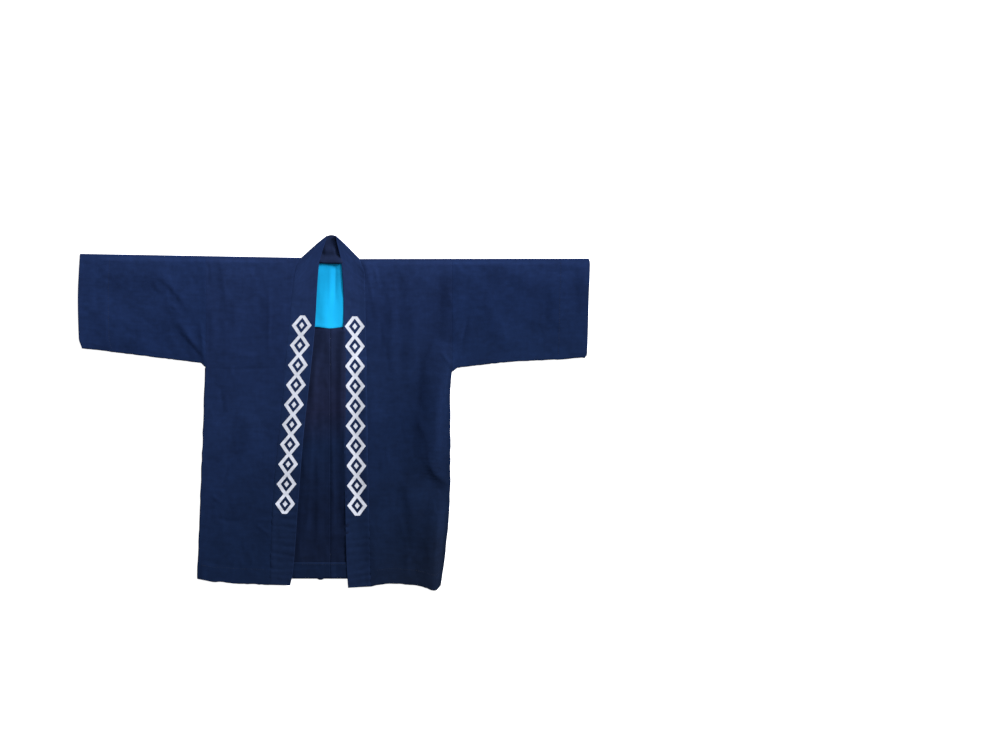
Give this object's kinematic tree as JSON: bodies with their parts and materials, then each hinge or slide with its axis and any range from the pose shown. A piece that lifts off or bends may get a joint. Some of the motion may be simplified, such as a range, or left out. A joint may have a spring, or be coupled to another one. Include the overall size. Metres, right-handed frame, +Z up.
{
  "type": "happi coat",
  "caption": "Short straight coat of navy cotton laid flat with its front up: wide sleeves, a long collar band and a light blue neck lining.",
  "frame": {"origin": "centre of the coat's box at the height of the surface it lies on", "axes": "+X to the wearer's left (cuff to cuff), +Y from the hem to the collar, +Z up out of the surface, front side up"},
  "size_m": [1.2522, 0.8692, 0.0115],
  "materials": {
    "navy_cotton": "matt plain-weave cotton, piece-dyed navy, softly creased",
    "collar_cotton": "the same navy cotton folded double, with a white printed linked-diamond stripe",
    "lining_cotton": "matt plain-weave cotton, bright light blue"
  },
  "bodies": {
    "root": {"body_right": "navy_cotton", "body_left": "navy_cotton", "sleeve_right": "navy_cotton", "sleeve_left": "navy_cotton", "collar": "collar_cotton", "yoke_lining": "lining_cotton"}
  },
  "joints": []
}
